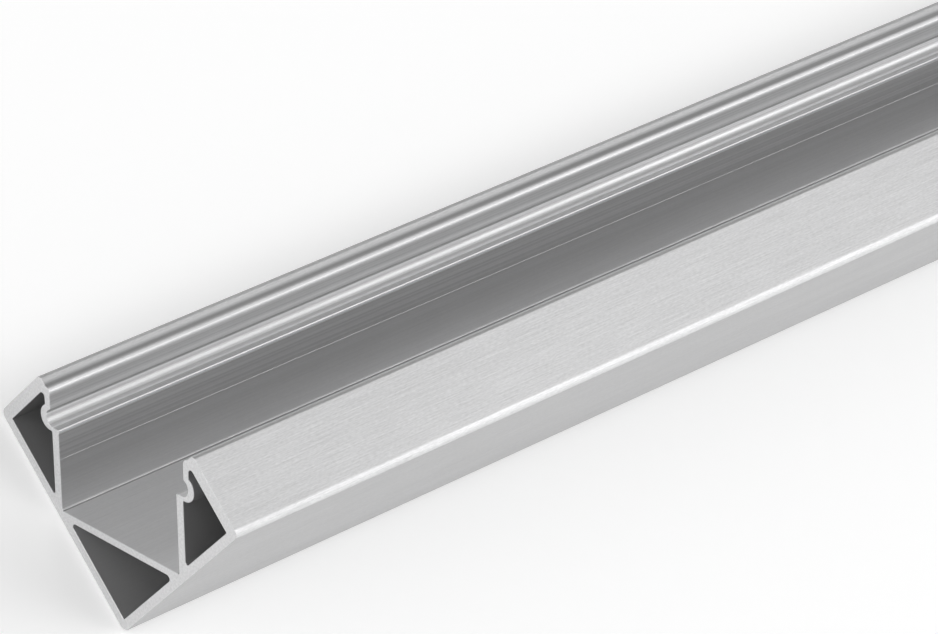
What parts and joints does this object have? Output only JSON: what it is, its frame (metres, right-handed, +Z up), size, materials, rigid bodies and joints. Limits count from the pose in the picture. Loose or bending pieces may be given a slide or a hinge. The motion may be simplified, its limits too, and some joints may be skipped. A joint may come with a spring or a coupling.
{
  "type": "led strip corner profile",
  "caption": "Aluminium corner profile for an LED strip, with a channel that opens at 45 degrees, snap-in cover grooves and hollow chambers.",
  "frame": {"origin": "middle of the stock's length, in the middle of the outer face of the leg that it lies on", "axes": "+X along the stock, +Z up along the standing leg, +Y out of that leg's outer face; the channel opens towards -Y and +Z"},
  "size_m": [1, 0.02, 0.02],
  "materials": {
    "aluminium": "satin anodised, with fine lines along the stock and sawn ends"
  },
  "bodies": {
    "root": {"corner_profile": "aluminium"}
  },
  "joints": []
}
